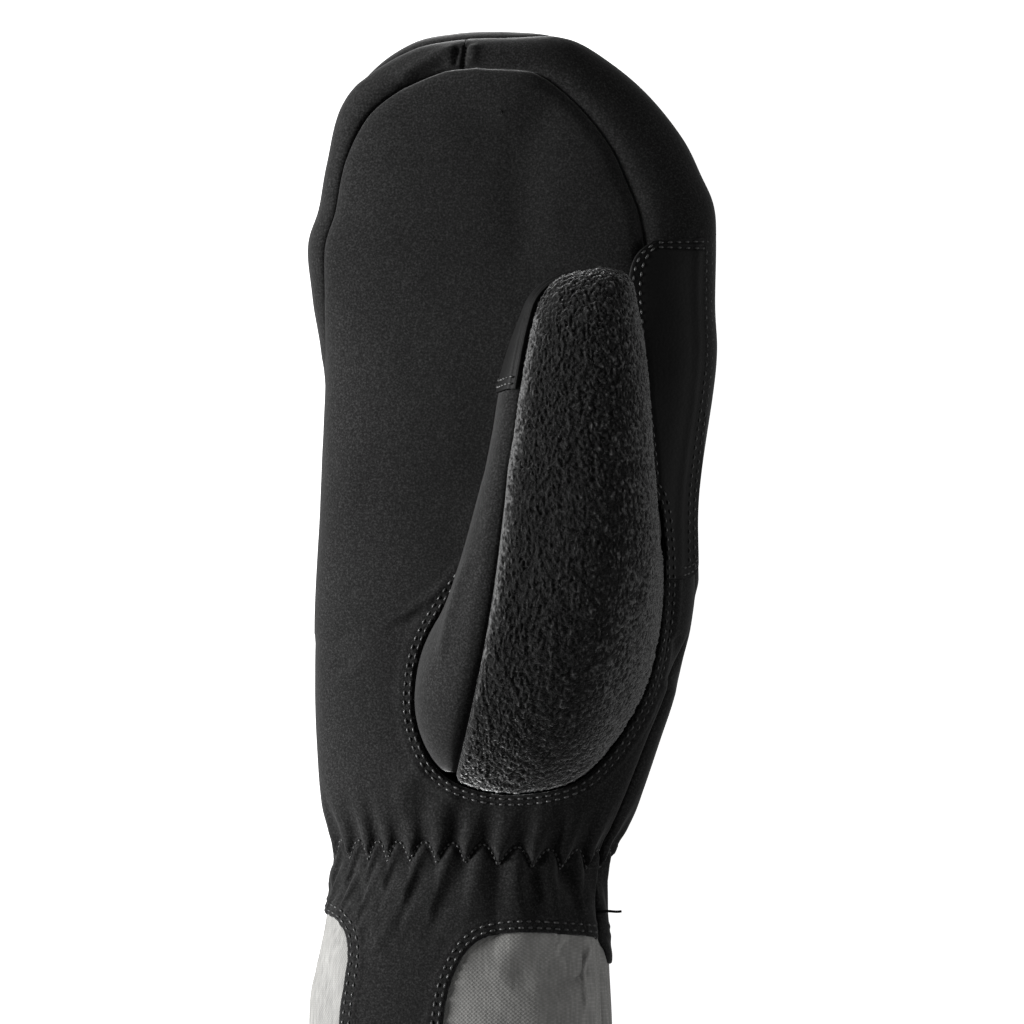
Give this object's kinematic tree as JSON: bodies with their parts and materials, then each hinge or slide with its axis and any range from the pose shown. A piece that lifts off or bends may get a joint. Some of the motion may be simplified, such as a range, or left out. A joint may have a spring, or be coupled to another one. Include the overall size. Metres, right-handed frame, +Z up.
{
  "type": "mitten",
  "caption": "Padded softshell mitten lying palm up, with a fleece-faced thumb, an index reinforcement, a gathered elastic wrist and a flared cuff with woven gores.",
  "frame": {"origin": "on the surface that the mitten rests on, under the middle of its bounding box", "axes": "+Y from the hem towards the fingertips, +Z up out of the palm, +X towards the thumb's side"},
  "size_m": [0.1103, 0.28, 0.0806],
  "materials": {
    "softshell": "matt knitted softshell with a fine heather speckle",
    "fleece": "short nubby pile",
    "reinforcement": "smooth, slightly satin",
    "woven": "fine plain weave, light grey"
  },
  "bodies": {
    "root": {"palm_panel": "softshell", "back_panel": "softshell", "gusset_little": "softshell", "gusset_index": "softshell", "thumb_front": "softshell", "thumb_fleece": "fleece", "index_patch": "reinforcement", "thumb_patch": "reinforcement", "cuff_palm_index": "woven", "cuff_palm_little": "woven", "cuff_back_index": "woven", "cuff_back_little": "woven"}
  },
  "joints": []
}
